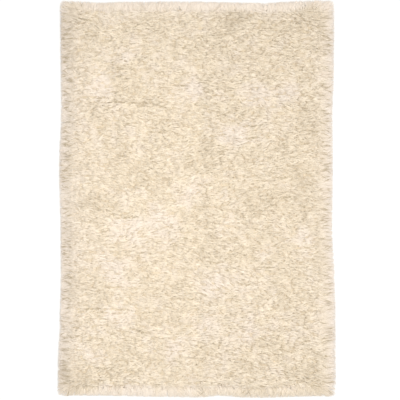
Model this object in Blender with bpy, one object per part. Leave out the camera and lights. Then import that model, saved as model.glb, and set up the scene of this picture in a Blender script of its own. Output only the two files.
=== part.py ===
"""A long-pile wool shag rug lying flat on the floor.

The rug is woven in one piece, so it is one solid: a lumpy slab of matted pile with a flat
underside, and combed locks that stand out round its rim. Units are metres, +X is across the
rug, +Y runs along it, +Z is up, and the origin is on the floor under the middle of the rug.
"""

import math
import random
from collections import namedtuple

import bmesh
import bpy
from mathutils import Vector, noise
from mathutils.geometry import delaunay_2d_cdt

# Driving sizes, measured over the tips of the rim locks.
RUG_WIDTH = 1.59
RUG_LENGTH = 2.30
LOCK_REACH = 0.046  # how far a rim lock stands out of the slab
CORNER_RADIUS = 0.014

# Matted pile.
RIM_HEIGHT = 0.013  # the slab's own edge, where the rim locks leave it
PILE_HEIGHT = 0.035  # mean height of the pile inside the shoulder
SHOULDER_WIDTH = 0.060  # from the edge up to the full height
LUMP_SIZE = 0.120
LUMP_HEIGHT = 0.007
TUFT_SIZE = 0.060
TUFT_HEIGHT = 0.006
TUFT_SPACING = 0.047  # between the points that shape the top
TUFT_JITTER = 0.22  # share of the spacing that a point may stray
CREASE_CLEARANCE = 0.62  # share of the spacing kept free round a crease's own points
NOISE_REACH = 0.5  # largest value that the noise takes either way

# Rim locks.
RIM_LOCKS = 260
ROOT_SHARE = 0.86  # of the distance between two locks
REACH_SPREAD = 0.008
SWAY_SPREAD = 0.005  # how far a tip strays sideways
CORNER_FAN = 0.12  # from a corner, where the locks turn gradually towards it
SEED = 7

SLAB_WIDTH = RUG_WIDTH - 2 * LOCK_REACH
SLAB_LENGTH = RUG_LENGTH - 2 * LOCK_REACH

# Rings of points that round the shoulder: shares of its width, and points for each rim lock.
ShoulderRing = namedtuple("ShoulderRing", "inset per_lock")
SHOULDER_RINGS = [
    ShoulderRing(inset=0.28, per_lock=1.0),
    ShoulderRing(inset=0.66, per_lock=0.666),
]

# Cross-sections of a rim lock: shares of its reach and of its root's width, and its height.
Section = namedtuple("Section", "reach width height")
LOCK_SECTIONS = [
    Section(reach=0.55, width=0.90, height=0.0085),
    Section(reach=1.00, width=0.42, height=0.0030),
]

# How far each side strays outward, at shares of its length, counter-clockwise from its start.
Station = namedtuple("Station", "side share outward")
EDGE_WANDER = [
    Station("bottom", 0.03, -0.006),
    Station("bottom", 0.15, -0.004),
    Station("bottom", 0.38, 0.003),
    Station("bottom", 0.52, 0.006),
    Station("bottom", 0.58, -0.003),
    Station("bottom", 0.74, 0.009),
    Station("bottom", 0.97, -0.002),
    Station("right", 0.05, 0.014),
    Station("right", 0.22, 0.012),
    Station("right", 0.30, 0.006),
    Station("right", 0.42, -0.007),
    Station("right", 0.60, -0.003),
    Station("right", 0.72, -0.006),
    Station("right", 0.84, 0.003),
    Station("right", 0.97, 0.004),
    Station("top", 0.05, 0.009),
    Station("top", 0.25, -0.005),
    Station("top", 0.45, 0.001),
    Station("top", 0.58, 0.004),
    Station("top", 0.80, 0.002),
    Station("top", 0.86, -0.004),
    Station("top", 0.97, 0.006),
    Station("left", 0.04, -0.002),
    Station("left", 0.26, -0.007),
    Station("left", 0.42, 0.005),
    Station("left", 0.58, -0.003),
    Station("left", 0.70, -0.005),
    Station("left", 0.84, 0.002),
    Station("left", 0.93, 0.012),
    Station("left", 0.97, 0.013),
]

# Creases left by folding: soft troughs between two points of the pile.
Crease = namedtuple("Crease", "x_start y_start x_end y_end depth")
CREASES = [
    Crease(0.018, 0.45, 0.014, -0.80, 0.007),
    Crease(0.290, 0.10, 0.680, 0.12, 0.007),
    Crease(0.350, -0.02, 0.650, 0.01, 0.005),
    Crease(-0.700, -0.64, -0.210, -0.66, 0.006),
    Crease(-0.690, 0.60, -0.180, 0.54, 0.006),
    Crease(0.270, -0.64, 0.500, -0.71, 0.005),
]
CREASE_HALF_WIDTH = 0.026

WOOL_COLOUR = (0.85, 0.73, 0.56, 1.0)
WOOL_ROUGHNESS = 0.95


def clear_scene():
    for found in list(bpy.data.objects):
        bpy.data.objects.remove(found)


# --- The slab's outline ------------------------------------------------------------------


def outline_runs():
    """The rounded rectangle's runs, counter-clockwise: (side or None, length, point at a share)."""
    half_x = SLAB_WIDTH / 2 - CORNER_RADIUS
    half_y = SLAB_LENGTH / 2 - CORNER_RADIUS
    corners = [(half_x, -half_y), (half_x, half_y), (-half_x, half_y), (-half_x, -half_y)]
    sides = ["bottom", "right", "top", "left"]
    runs = []
    for quarter, side in enumerate(sides):
        outward = Vector((math.sin(quarter * math.pi / 2), -math.cos(quarter * math.pi / 2)))
        start = Vector(corners[quarter - 1]) + outward * CORNER_RADIUS
        end = Vector(corners[quarter]) + outward * CORNER_RADIUS
        runs.append((side, (end - start).length, straight_run(start, end, outward)))
        turn_start = (quarter - 1) * math.pi / 2
        arc_length = CORNER_RADIUS * math.pi / 2
        runs.append((None, arc_length, corner_run(Vector(corners[quarter]), turn_start)))
    return runs


def straight_run(start, end, outward):
    return lambda share: (start.lerp(end, share), outward)


def corner_run(centre, turn_start):
    def at(share):
        turn = turn_start + share * math.pi / 2
        outward = Vector((math.cos(turn), math.sin(turn)))
        return centre + outward * CORNER_RADIUS, outward

    return at


def perimeter_of(runs):
    return sum(length for _, length, _ in runs)


def wander_stations(runs):
    """The table of stations as (distance along the outline, outward), in order."""
    side_start = {}
    side_length = {}
    walked = 0.0
    for side, length, _ in runs:
        side_start[side] = walked
        side_length[side] = length
        walked += length
    return [(side_start[s.side] + s.share * side_length[s.side], s.outward) for s in EDGE_WANDER]


def wander_at(distance, stations, perimeter):
    """How far the outline strays outward there, eased between the nearest two stations."""
    before = max(
        (s for s in stations if s[0] <= distance),
        default=(stations[-1][0] - perimeter, stations[-1][1]),
    )
    after = min(
        (s for s in stations if s[0] > distance),
        default=(stations[0][0] + perimeter, stations[0][1]),
    )
    share = (distance - before[0]) / (after[0] - before[0])
    eased = share * share * (3 - 2 * share)
    return before[1] + (after[1] - before[1]) * eased


def outline_at(distance, runs, stations, inset=0.0):
    """The slab's edge at a distance along it, moved inwards by inset."""
    perimeter = perimeter_of(runs)
    walked = distance % perimeter
    outward_by = wander_at(walked, stations, perimeter) - inset
    for _, length, at in runs:
        if walked <= length:
            break
        walked -= length
    point, outward = at(min(1.0, walked / length))
    return point + outward * outward_by


# --- The pile's surface ------------------------------------------------------------------


def crease_share(x, y, crease):
    """How near (x, y) is to a crease's middle line: 1 on it, 0 at its edge and beyond."""
    start = Vector((crease.x_start, crease.y_start))
    along = Vector((crease.x_end, crease.y_end)) - start
    from_start = Vector((x, y)) - start
    share = min(1.0, max(0.0, from_start.dot(along) / along.length_squared))
    away = (from_start - along * share).length
    return max(0.0, 1.0 - away / CREASE_HALF_WIDTH)


def pile_height(x, y, inset):
    """Height of the matted pile: a rounded shoulder, then lumps and tufts, less the creases."""
    rise = 1.0 - min(1.0, inset / SHOULDER_WIDTH)
    shoulder = math.sqrt(max(0.0, 1.0 - rise * rise))
    lumps = LUMP_HEIGHT * noise.noise(Vector((x, y, 0.0)) / LUMP_SIZE) / NOISE_REACH
    tufts = TUFT_HEIGHT * noise.noise(Vector((x, y, 1.0)) / TUFT_SIZE) / NOISE_REACH
    crease = max(c.depth * crease_share(x, y, c) for c in CREASES)
    crown = PILE_HEIGHT - RIM_HEIGHT + lumps + tufts - crease
    return RIM_HEIGHT + shoulder * crown


def crease_points():
    """Rows of points along each crease, on its middle line and at both its edges."""
    points = []
    for crease in CREASES:
        start = Vector((crease.x_start, crease.y_start))
        along = Vector((crease.x_end, crease.y_end)) - start
        across = Vector((-along.y, along.x)).normalized() * CREASE_HALF_WIDTH
        steps = round(along.length / TUFT_SPACING)
        for step in range(steps + 1):
            middle = start + along * (step / steps)
            points += [middle - across, middle, middle + across]
    return points


def near_any(point, others, distance):
    return any((point - other).length < distance for other in others)


def tuft_points(chance):
    """A staggered grid of jittered points inside the shoulder, clear of the creases' own rows."""
    taken = crease_points()
    half_x = SLAB_WIDTH / 2 - SHOULDER_WIDTH
    half_y = SLAB_LENGTH / 2 - SHOULDER_WIDTH
    row_height = TUFT_SPACING * math.sqrt(3) / 2
    rows = round(2 * half_y / row_height)
    columns = round(2 * half_x / TUFT_SPACING)
    jitter = TUFT_SPACING * TUFT_JITTER
    points = list(taken)
    for row in range(rows + 1):
        stagger = 0.25 if row % 2 else -0.25
        for column in range(columns + 1):
            x = -half_x + 2 * half_x * (column + stagger) / columns
            y = -half_y + 2 * half_y * row / rows
            strayed = Vector((chance.uniform(-jitter, jitter), chance.uniform(-jitter, jitter)))
            point = Vector((x, y)) + strayed
            if abs(x) <= half_x and not near_any(point, taken, TUFT_SPACING * CREASE_CLEARANCE):
                points.append(point)
    return points


def edge_ring(runs, stations):
    """The slab's edge: two points for each rim lock, with the gap to the next lock after them."""
    pitch = perimeter_of(runs) / RIM_LOCKS
    ring = []
    for lock in range(RIM_LOCKS):
        for side in (-1, 1):
            distance = (lock + 0.5 + side * ROOT_SHARE / 2) * pitch
            ring.append(outline_at(distance, runs, stations))
    return ring


def shoulder_rings(runs, stations):
    """Points along the rounded shoulder, on rings inside the edge."""
    perimeter = perimeter_of(runs)
    points = []
    for ring in SHOULDER_RINGS:
        inset = ring.inset * SHOULDER_WIDTH
        count = round(ring.per_lock * RIM_LOCKS)
        for index in range(count):
            points.append(outline_at(index * perimeter / count, runs, stations, inset))
    return points


def inset_of(point, ring):
    return min((point - corner).length for corner in ring)


# --- The solid ---------------------------------------------------------------------------


def add_top(mesh, ring, inner):
    """The pile's lumpy top, triangulated between the edge ring and the inner points."""
    points = ring + inner
    outline = list(range(len(ring)))
    flat, _, triangles, origins, _, _ = delaunay_2d_cdt(points, [], [outline], 1, 1e-6)
    vertices = {}
    for index, point in enumerate(flat):
        on_edge = min(origins[index]) < len(ring)
        inset = 0.0 if on_edge else inset_of(point, ring)
        made = mesh.verts.new((point.x, point.y, pile_height(point.x, point.y, inset)))
        vertices[index] = made
    for triangle in triangles:
        mesh.faces.new([vertices[index] for index in triangle])
    by_origin = {min(origins[index]): vertices[index] for index in vertices}
    return [by_origin[index] for index in outline]


def add_underside(mesh, ring):
    """The flat underside, triangulated from its own ring."""
    _, _, triangles, _, _, _ = delaunay_2d_cdt(ring, [], [list(range(len(ring)))], 1, 1e-6)
    vertices = [mesh.verts.new((point.x, point.y, 0.0)) for point in ring]
    for triangle in triangles:
        mesh.faces.new([vertices[index] for index in reversed(triangle)])
    return vertices


def lock_direction(x, y):
    """Straight out of the nearest side, turning towards the corner inside its fan."""
    lean_x = min(1.0, max(0.0, (abs(x) - SLAB_WIDTH / 2) / CORNER_FAN + 1.0))
    lean_y = min(1.0, max(0.0, (abs(y) - SLAB_LENGTH / 2) / CORNER_FAN + 1.0))
    longer = max(lean_x, lean_y)
    return Vector((math.copysign(lean_x, x), math.copysign(lean_y, y), 0.0)) / longer


def add_lock(mesh, root, reach, sway):
    """One rim lock, flat underneath. Its root runs lower left, lower right, upper right, upper left."""
    left, right = root[0].co.copy(), root[1].co.copy()
    middle = (left + right) / 2
    across = (right - left) / 2
    outward = lock_direction(middle.x, middle.y)
    previous = root
    for section in LOCK_SECTIONS:
        centre = middle + outward * (reach * section.reach)
        centre += across.normalized() * (sway * section.reach**2)
        spread = across * section.width
        lift = Vector((0.0, 0.0, section.height))
        places = [centre - spread, centre + spread, centre + spread + lift, centre - spread + lift]
        ring = [mesh.verts.new(place) for place in places]
        for corner in range(4):
            after = (corner + 1) % 4
            mesh.faces.new([previous[corner], previous[after], ring[after], ring[corner]])
        previous = ring
    mesh.faces.new(previous)


def add_rim(mesh, top, bottom, chance):
    """The slab's wall: a rim lock on every other stretch of it, and plain wall between them."""
    for lock in range(RIM_LOCKS):
        first, second = 2 * lock, 2 * lock + 1
        after = (second + 1) % len(top)
        mesh.faces.new([bottom[second], bottom[after], top[after], top[second]])
        root = [bottom[first], bottom[second], top[second], top[first]]
        reach = LOCK_REACH + chance.uniform(-REACH_SPREAD, REACH_SPREAD)
        sway = chance.uniform(-SWAY_SPREAD, SWAY_SPREAD)
        add_lock(mesh, root, reach, sway)


def centre_on_floor(mesh):
    """Moves the solid so that the origin is under the middle of its box."""
    low = Vector((min(v.co.x for v in mesh.verts), min(v.co.y for v in mesh.verts), 0.0))
    high = Vector((max(v.co.x for v in mesh.verts), max(v.co.y for v in mesh.verts), 0.0))
    bmesh.ops.translate(mesh, verts=mesh.verts, vec=-(low + high) / 2)


def wool_material():
    material = bpy.data.materials.new("cream_wool")
    material.use_nodes = True
    shader = material.node_tree.nodes["Principled BSDF"]
    shader.inputs["Base Color"].default_value = WOOL_COLOUR
    shader.inputs["Roughness"].default_value = WOOL_ROUGHNESS
    shader.inputs["Metallic"].default_value = 0.0
    return material


def make_shag_rug():
    chance = random.Random(SEED)
    runs = outline_runs()
    stations = wander_stations(runs)
    ring = edge_ring(runs, stations)
    inner = shoulder_rings(runs, stations) + tuft_points(chance)
    mesh = bmesh.new()
    top = add_top(mesh, ring, inner)
    bottom = add_underside(mesh, ring)
    add_rim(mesh, top, bottom, chance)
    centre_on_floor(mesh)
    bmesh.ops.recalc_face_normals(mesh, faces=mesh.faces)
    data = bpy.data.meshes.new("shag_rug")
    mesh.to_mesh(data)
    mesh.free()
    data.materials.append(wool_material())
    rug = bpy.data.objects.new("shag_rug", data)
    bpy.context.scene.collection.objects.link(rug)
    return rug


clear_scene()
make_shag_rug()
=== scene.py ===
"""A cream long-pile wool shag rug, laid out on a pale floor and seen from straight above.

The rug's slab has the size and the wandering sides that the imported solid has, and rays cast on the
solid give the height of the pile. The rug is made in the order in which it is woven: the ground
weave, the matted pile in it, then the combed locks that lie on top and hang over the rim. Metres,
+X across the rug, +Y along it, +Z up, origin on the floor. Angles are in radians, except where a
comment says degrees.
"""

import math
from collections import namedtuple

import bpy
import numpy as np
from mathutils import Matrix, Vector
from mathutils.bvhtree import BVHTree


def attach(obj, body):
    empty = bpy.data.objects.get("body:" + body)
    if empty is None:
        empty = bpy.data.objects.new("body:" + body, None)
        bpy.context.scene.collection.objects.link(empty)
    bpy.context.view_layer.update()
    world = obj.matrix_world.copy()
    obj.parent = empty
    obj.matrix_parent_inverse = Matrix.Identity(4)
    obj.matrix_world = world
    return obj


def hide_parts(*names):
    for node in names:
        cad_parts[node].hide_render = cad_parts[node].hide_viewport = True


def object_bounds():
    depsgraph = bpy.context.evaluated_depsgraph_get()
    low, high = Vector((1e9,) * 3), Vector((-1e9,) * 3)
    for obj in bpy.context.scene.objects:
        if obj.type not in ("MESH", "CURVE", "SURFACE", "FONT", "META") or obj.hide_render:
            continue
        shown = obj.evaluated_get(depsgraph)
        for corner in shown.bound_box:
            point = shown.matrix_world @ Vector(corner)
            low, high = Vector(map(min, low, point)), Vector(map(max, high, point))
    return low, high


bl_info = {
    "name": "Wool Shag Rug",
    "version": (1, 0, 0),
    "blender": (4, 5, 0),
    "location": "3D View > Sidebar > Shag Rug",
    "description": "Makes a long-pile wool shag rug from its ground weave, matted pile and locks",
    "category": "Object",
}

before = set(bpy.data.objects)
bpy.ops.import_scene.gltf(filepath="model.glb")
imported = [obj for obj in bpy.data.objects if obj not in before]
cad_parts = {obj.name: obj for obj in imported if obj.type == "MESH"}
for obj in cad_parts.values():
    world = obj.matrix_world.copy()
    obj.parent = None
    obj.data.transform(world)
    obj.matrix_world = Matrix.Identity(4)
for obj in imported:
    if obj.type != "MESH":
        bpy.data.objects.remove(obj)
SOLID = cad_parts["shag_rug"]
SOLID_LOW, SOLID_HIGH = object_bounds()
SEED = 11

# The slab inside the rim locks, as the solid has it.
SLAB_WIDTH = 1.498
SLAB_LENGTH = 2.208
SLAB_CENTRE = (-0.0015, -0.0002)
CORNER_RADIUS = 0.014
EDGE_HEIGHT = 0.013  # of the pile at the slab's edge
TIP_HEIGHT = 0.003  # and a little past the tips of the rim locks
SOLID_TRUSTED = 0.004  # how far inside the slab's edge the solid's own height starts to count
HEIGHT_PITCH = 0.008  # between the rays that find the solid's height
HEIGHT_SOFTENING = 2  # passes that take out the solid's flat faces

# One value for each side of the rug, counter-clockwise.
Sides = namedtuple("Sides", "bottom right top left")

# The rim locks: how far they stand out of the slab, and how much farther on each side.
LOCK_REACH = 0.046
SIDE_REACH = Sides(bottom=0.003, right=0.008, top=0.0, left=0.0)
TRIM_POWER = 6  # how square the trimmed outline is at its corners
TRIM_SPARE = (0.97, 1.05)  # a strand's limit as a share of the reach
SIDE_FAN = 0.10  # width of the bands at the long sides in which the pile turns outward
END_FAN = 0.022  # and at the two ends
SIDE_LEAN = 0.13  # how far the rim locks lean to either side along the long sides
END_LEAN = 0.35  # and along the two ends
MOST_LEAN = 1.2
RIM_SPACING = 0.0125  # of the clumps along each row round the rim
RIM_SLACK = 1.06  # length of a rim lock over the straight way from its root to its tip
RIM_UNEVEN = 0.0007  # how unevenly high the rim locks lie
RIM_PINCH = 0.15  # how far their strands draw in towards the tip, as a share
# The rows of clumps round the rim: how far inside the slab's edge the roots are, and how far
# outside it the tips.
RimRow = namedtuple("RimRow", "inset out")
RIM_ROWS = [RimRow(0.002, 0.050), RimRow(0.014, 0.050), RimRow(0.028, 0.038), RimRow(0.042, 0.022)]
# Painted rim shade: how grey the wool is painted at the outermost tips of each side, for the
# shade where the pile falls off to the floor, and over how far inward that fades.
Haze = namedtuple("Haze", "most fade")
RIM_SHADES = Sides(
    bottom=Haze(0.20, 0.050),
    right=Haze(0.75, 0.045),
    top=Haze(0.42, 0.050),
    left=Haze(0.68, 0.085),
)

# How far each side strays outward, at shares of its length, counter-clockwise from its start.
# These are the stations of the solid's outline.
EDGE_WANDER = Sides(
    bottom={
        0.03: -0.006, 0.15: -0.004, 0.38: 0.003, 0.52: 0.006, 0.58: -0.003, 0.74: 0.009,
        0.97: -0.002,
    },
    right={
        0.05: 0.014, 0.22: 0.012, 0.30: 0.006, 0.42: -0.007, 0.60: -0.003, 0.72: -0.006,
        0.84: 0.003, 0.97: 0.004,
    },
    top={
        0.05: 0.009, 0.25: -0.005, 0.45: 0.001, 0.58: 0.004, 0.80: 0.002, 0.86: -0.004,
        0.97: 0.006,
    },
    left={
        0.04: -0.002, 0.26: -0.007, 0.42: 0.005, 0.58: -0.003, 0.70: -0.005, 0.84: 0.002,
        0.93: 0.012, 0.97: 0.013,
    },
)

# Patches where the pile was stroked smooth (smooth > 0) or stands ruffled and parted (< 0), with
# the turn of its lay in degrees. The sum over all patches is held between -1 and 1, so a patch of
# -2.2 is fully ruffled over a broad middle.
# Besides the lay, the wool's material paints a pinkish sheen over smooth patches and a little shade
# over ruffled ones.
Patch = namedtuple("Patch", "x y across along smooth turn")
PATCHES = [
    Patch(-0.02, 0.63, 0.07, 0.09, 1.0, 5),
    Patch(0.34, 0.62, 0.10, 0.06, 0.8, -7.5),
    Patch(0.53, 0.62, 0.08, 0.07, 0.8, 10),
    Patch(-0.57, 0.65, 0.09, 0.08, 0.9, -5),
    Patch(-0.42, 0.83, 0.10, 0.06, 0.8, 7.5),
    Patch(0.23, 0.37, 0.09, 0.07, 0.9, -10),
    Patch(-0.04, 0.05, 0.08, 0.08, 0.8, 15),
    Patch(-0.21, -0.14, 0.10, 0.07, 1.0, -5),
    Patch(-0.39, -0.19, 0.09, 0.08, 0.9, 12.5),
    Patch(-0.49, -0.40, 0.08, 0.07, 0.9, -12.5),
    Patch(-0.44, -0.68, 0.10, 0.08, 1.0, 5),
    Patch(0.08, -0.53, 0.08, 0.10, 1.0, -17.5),
    Patch(0.07, -0.72, 0.07, 0.07, 0.9, 10),
    Patch(0.34, -0.76, 0.10, 0.06, 0.9, -5),
    Patch(0.63, -0.20, 0.06, 0.09, 0.8, 15),
    Patch(-0.15, -0.88, 0.10, 0.07, 0.8, 7.5),
    Patch(-0.63, -0.91, 0.08, 0.07, 0.7, -10),
    Patch(-0.74, 1.01, 0.12, 0.08, -0.9, -10),
    Patch(-0.72, 0.86, 0.09, 0.08, -0.8, 7.5),
    Patch(0.23, 1.04, 0.12, 0.06, -0.8, 5),
    Patch(0.69, 1.07, 0.10, 0.06, -0.9, -12.5),
    Patch(0.66, 0.44, 0.09, 0.09, -0.8, 12.5),
    Patch(0.60, 0.14, 0.11, 0.05, -1.0, -5),
    Patch(0.40, -0.01, 0.12, 0.05, -0.9, 10),
    Patch(-0.62, -0.03, 0.09, 0.07, -0.7, -15),
    Patch(0.06, 0.27, 0.06, 0.09, -0.8, 20),
    Patch(0.05, -0.28, 0.06, 0.09, -0.7, -20),
    Patch(-0.73, -1.02, 0.10, 0.08, -0.9, 10),
    Patch(-0.68, -0.47, 0.08, 0.07, -0.6, 5),
    Patch(0.69, -1.05, 0.10, 0.07, -0.8, -7.5),
    Patch(-0.50, -1.00, 0.10, 0.07, -0.7, 15),
    Patch(-0.75, -1.10, 0.10, 0.07, -2.2, 7.5),
    Patch(0.74, -1.13, 0.10, 0.05, -1.6, -7.5),
    Patch(0.38, -1.16, 0.36, 0.04, -1.5, 0),
    Patch(-0.73, 1.12, 0.05, 0.05, -1.8, -10),
    Patch(0.74, -0.28, 0.04, 0.07, -0.9, 5),
]

# Long partings that the photograph shows, from one end to the other.
Groove = namedtuple("Groove", "x_start y_start x_end y_end depth")
GROOVES = [
    Groove(-0.682, -0.640, -0.398, -0.645, 0.8),
    Groove(-0.677, -0.655, -0.450, -0.668, 0.6),
    Groove(-0.310, -0.668, -0.215, -0.652, 0.5),
    Groove(-0.677, 0.594, -0.514, 0.588, 0.7),
    Groove(-0.584, 0.565, -0.270, 0.559, 0.6),
    Groove(-0.229, 0.547, -0.176, 0.530, 1.0),
    Groove(-0.340, 0.545, -0.300, 0.542, 0.9),
    Groove(-0.584, 0.413, -0.514, 0.402, 0.9),
    Groove(-0.550, 0.372, -0.430, 0.350, 0.5),
    Groove(-0.473, 0.256, -0.410, 0.248, 0.9),
    Groove(-0.229, 0.332, -0.197, 0.270, 0.7),
    Groove(-0.194, 0.220, -0.190, 0.150, 0.5),
    Groove(-0.185, 0.130, -0.153, 0.076, 0.7),
    Groove(-0.268, 0.392, -0.180, 0.388, 0.7),
    Groove(-0.794, 0.215, -0.712, 0.233, 0.7),
    Groove(-0.794, 0.170, -0.724, 0.146, 0.7),
    Groove(-0.760, 0.560, -0.728, 0.535, 0.7),
    Groove(-0.722, 1.045, -0.680, 1.050, 0.9),
    Groove(-0.680, 1.052, -0.610, 1.035, 0.7),
    Groove(-0.560, 0.925, -0.480, 0.920, 0.5),
    Groove(-0.370, 0.905, -0.300, 0.895, 0.7),
    Groove(-0.130, 0.665, -0.070, 0.655, 0.8),
    Groove(0.254, 0.578, 0.313, 0.576, 0.8),
    Groove(0.278, 0.425, 0.383, 0.431, 0.6),
    Groove(0.091, 0.367, 0.167, 0.378, 0.8),
    Groove(0.278, 0.349, 0.348, 0.355, 0.9),
    Groove(0.068, 0.285, 0.155, 0.274, 0.8),
    Groove(0.633, 0.402, 0.709, 0.390, 1.0),
    Groove(0.640, 0.300, 0.690, 0.270, 0.7),
    Groove(0.359, 0.110, 0.405, 0.105, 0.9),
    Groove(0.450, 0.122, 0.560, 0.128, 0.5),
    Groove(0.430, 0.005, 0.540, 0.010, 0.7),
    Groove(0.604, -0.035, 0.650, -0.052, 0.9),
    Groove(-0.456, -0.111, -0.345, -0.105, 0.8),
    Groove(-0.580, -0.060, -0.500, -0.070, 0.6),
    Groove(-0.514, -0.518, -0.444, -0.512, 0.9),
    Groove(-0.620, -0.500, -0.590, -0.515, 0.9),
    Groove(-0.582, -0.365, -0.556, -0.362, 1.0),
    Groove(-0.223, -0.431, -0.176, -0.433, 1.0),
    Groove(-0.398, -0.751, -0.310, -0.774, 0.8),
    Groove(-0.747, -0.809, -0.689, -0.798, 0.9),
    Groove(-0.584, -0.984, -0.473, -1.000, 0.8),
    Groove(-0.786, -1.000, -0.724, -0.996, 0.8),
    Groove(-0.790, -1.077, -0.735, -1.060, 0.8),
    Groove(0.167, -0.547, 0.225, -0.565, 0.9),
    Groove(0.359, -0.396, 0.429, -0.402, 0.7),
    Groove(0.353, -0.821, 0.394, -0.809, 1.0),
    Groove(0.120, -1.075, 0.161, -1.085, 0.8),
    Groove(0.295, -1.077, 0.353, -1.054, 0.7),
    Groove(0.270, -0.640, 0.345, -0.672, 0.5),
    Groove(0.027, 0.344, 0.027, 0.280, 0.5),
    Groove(0.014, -0.020, 0.020, -0.090, 0.4),
    Groove(0.002, -0.540, 0.006, -0.610, 0.6),
]
GROOVE_STEP = 0.011  # between the short grooves that a long parting is made of
GROOVE_OVERLAP = 0.75  # half length of each of them, in steps
GROOVE_STRAY = 0.0014  # how far they lie off the parting's line
GROOVE_PLAY = 0.12  # and how far they turn out of it
GROOVE_GAIN = 1.25  # depth of a long parting against a short one

# The short partings, which fall by chance. Their rows are closer than their columns, because they
# lie more across the rug than along it.
PARTING_PITCH = 0.0025  # of the chart that holds them
PARTING_FIELD = (0.79, 1.12)  # half width and half length of the field they are set in
PARTING_SPACING = 0.028
PARTING_ROWS = 0.6  # distance of the rows as a share of the spacing
PARTING_ODDS = 0.42  # chance of a parting at a place that is neither smooth nor ruffled
PARTING_SMOOTHED = 0.90  # how much of that chance a smooth patch takes
PARTING_TURN = 0.22  # how far a parting turns out of the pile's lay
PARTING_RIM = 0.7  # how far out over the rim locks partings fall, as a share of their reach
PARTING_HALF_LENGTH = (0.002, 0.0045)
PARTING_HALF_WIDTH = (0.0018, 0.0030)
PARTING_CELLS = 12  # cells of the chart to each side that a parting may fill
PARTING_DEPTH = 0.012
PUSH_ASIDE = 0.000020  # how strongly a parting moves strands to its sides, square metres
END_BAND = 0.018  # at both ends of the rug, where the pile is smooth and doesn't part
END_FADE = 0.02  # over which the smoothness of the ends fades inward
END_SMOOTH = 0.8
FOLD_X = 0.0165  # the centre fold, from which the pile lies away to both sides

# Slow noises: the greatest value to either side, the distance between crossings, and a seed.
Noise = namedtuple("Noise", "most size seed")
SWEEPING_LAY = Noise(0.18, 0.26, 1)
SWIRLING_LAY = Noise(0.20, 0.10, 2)
BROAD_RUFFLE = Noise(0.30, 0.085, 5)
SMALL_RUFFLE = Noise(0.50, 0.036, 6)
FOLD_WANDER = Noise(0.03, 0.03, 7)
PARTING_CROWDS = Noise(0.6, 0.07, 9)
MAT_LUMPS = Noise(0.0018, 0.030, 21)
MAT_TUFTS = Noise(0.0012, 0.016, 22)
LATTICE = 64  # crossings each way, after which a noise repeats
LATTICE_START = (31.37, 27.71)  # crossings from the lattice's corner to the rug's middle


# --- Sizes and colours ---


def linear(hex_colour):
    """An sRGB hex colour as linear red, green and blue, and full alpha."""
    values = [int(hex_colour[i : i + 2], 16) / 255 for i in (0, 2, 4)]
    return (*(v / 12.92 if v <= 0.04045 else ((v + 0.055) / 1.055) ** 2.4 for v in values), 1.0)


class RugSizes(bpy.types.PropertyGroup):
    """The sizes that a user would change, in metres."""

    lock_length: bpy.props.FloatProperty(
        name="Lock length",
        description="Length of the part of a wool lock that shows, along its own line",
        default=0.036,
        unit="LENGTH",
    )
    clump_spacing: bpy.props.FloatProperty(
        name="Clump spacing",
        description="Distance between the roots of two clumps of strands",
        default=0.0215,
        unit="LENGTH",
    )
    weave_thickness: bpy.props.FloatProperty(
        name="Weave thickness",
        description="Thickness of the ground weave",
        default=0.0022,
        unit="LENGTH",
    )
    mat_share: bpy.props.FloatProperty(
        name="Matted share",
        description="Height of the matted pile as a share of the whole pile",
        default=0.8,
        subtype="FACTOR",
    )


def colour_choice(name, description, hex_colour):
    """A colour that a user can change, whose default is the hex colour made linear."""
    return bpy.props.FloatVectorProperty(
        name=name, description=description, default=linear(hex_colour), subtype="COLOR", size=4
    )


class RugColours(bpy.types.PropertyGroup):
    """The wool's and the floor's colours, linear. Some of the wool's colours are painted light: the
    pinkish sheen of stroked pile, the shade of the partings and streaks, the rim's paler and greyer
    shade, and in part the darker cream of ruffled pile.
    """

    tip: colour_choice("Wool tips", "Cream of the sunlit wool tips", "fbeeda")
    middle: colour_choice("Wool middles", "Warmer cream half way down a strand", "f9ead2")
    root: colour_choice("Wool roots", "Yellowish wool deep in the pile", "d7c6a7")
    # Painted sheen: the pinkish white of pile stroked smooth.
    stroked_sheen: colour_choice("Stroked wool", "Pinkish white where the pile is stroked smooth", "f7eadb")
    # This darker cream is the slubs' own tone. It is also painted shade on ruffled and parted pile.
    slub_tone_and_shade: colour_choice("Ruffled wool", "Slightly darker cream where the pile stands ruffled", "d3c2a6")
    # Painted shade: this darker cream on strands in partings and on the streaks stands for the shadow
    # there. It also gives other strands a darker tone at random.
    shade: colour_choice("Wool in partings", "Darker cream of the strands in the partings", "baa98a")
    # Painted rim shade begins with this paler, less yellow cream.
    pale: colour_choice("Wool near the rim", "Paler, less yellow wool that leads to the rim", "f6ebe2")
    # Painted rim shade: the greyer cream at the outermost tips.
    haze: colour_choice("Rim fibres", "Greyer cream of the thin fibres at the outermost tips", "ede4dc")
    weave: colour_choice("Ground weave", "Undyed wool yarn of the ground weave", "d9c9a6")
    floor: colour_choice("Floor", "Pale studio floor", "fcfbf9")


# --- Fields over the rug ---


def ease(share):
    """Smooth step: 3 s^2 - 2 s^3 of the share, held between 0 and 1."""
    share = np.clip(share, 0.0, 1.0)
    return share * share * (3.0 - 2.0 * share)


def mix(first, second, share):
    """The value at a share of the way from the first to the second, in a straight line."""
    return first * (1 - share) + second * share


def drift(noise, x, y):
    """Slow noise: chance values on a lattice, eased between its crossings."""
    lattice = np.random.default_rng(noise.seed).uniform(-1.0, 1.0, (LATTICE, LATTICE))
    u, v = x / noise.size + LATTICE_START[0], y / noise.size + LATTICE_START[1]
    column, row = np.floor(u).astype(int), np.floor(v).astype(int)
    left, right = column % LATTICE, (column + 1) % LATTICE
    near, far = (
        mix(lattice[line % LATTICE, left], lattice[line % LATTICE, right], ease(u - column))
        for line in (row, row + 1)
    )
    return noise.most * mix(near, far, ease(v - row))


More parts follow.
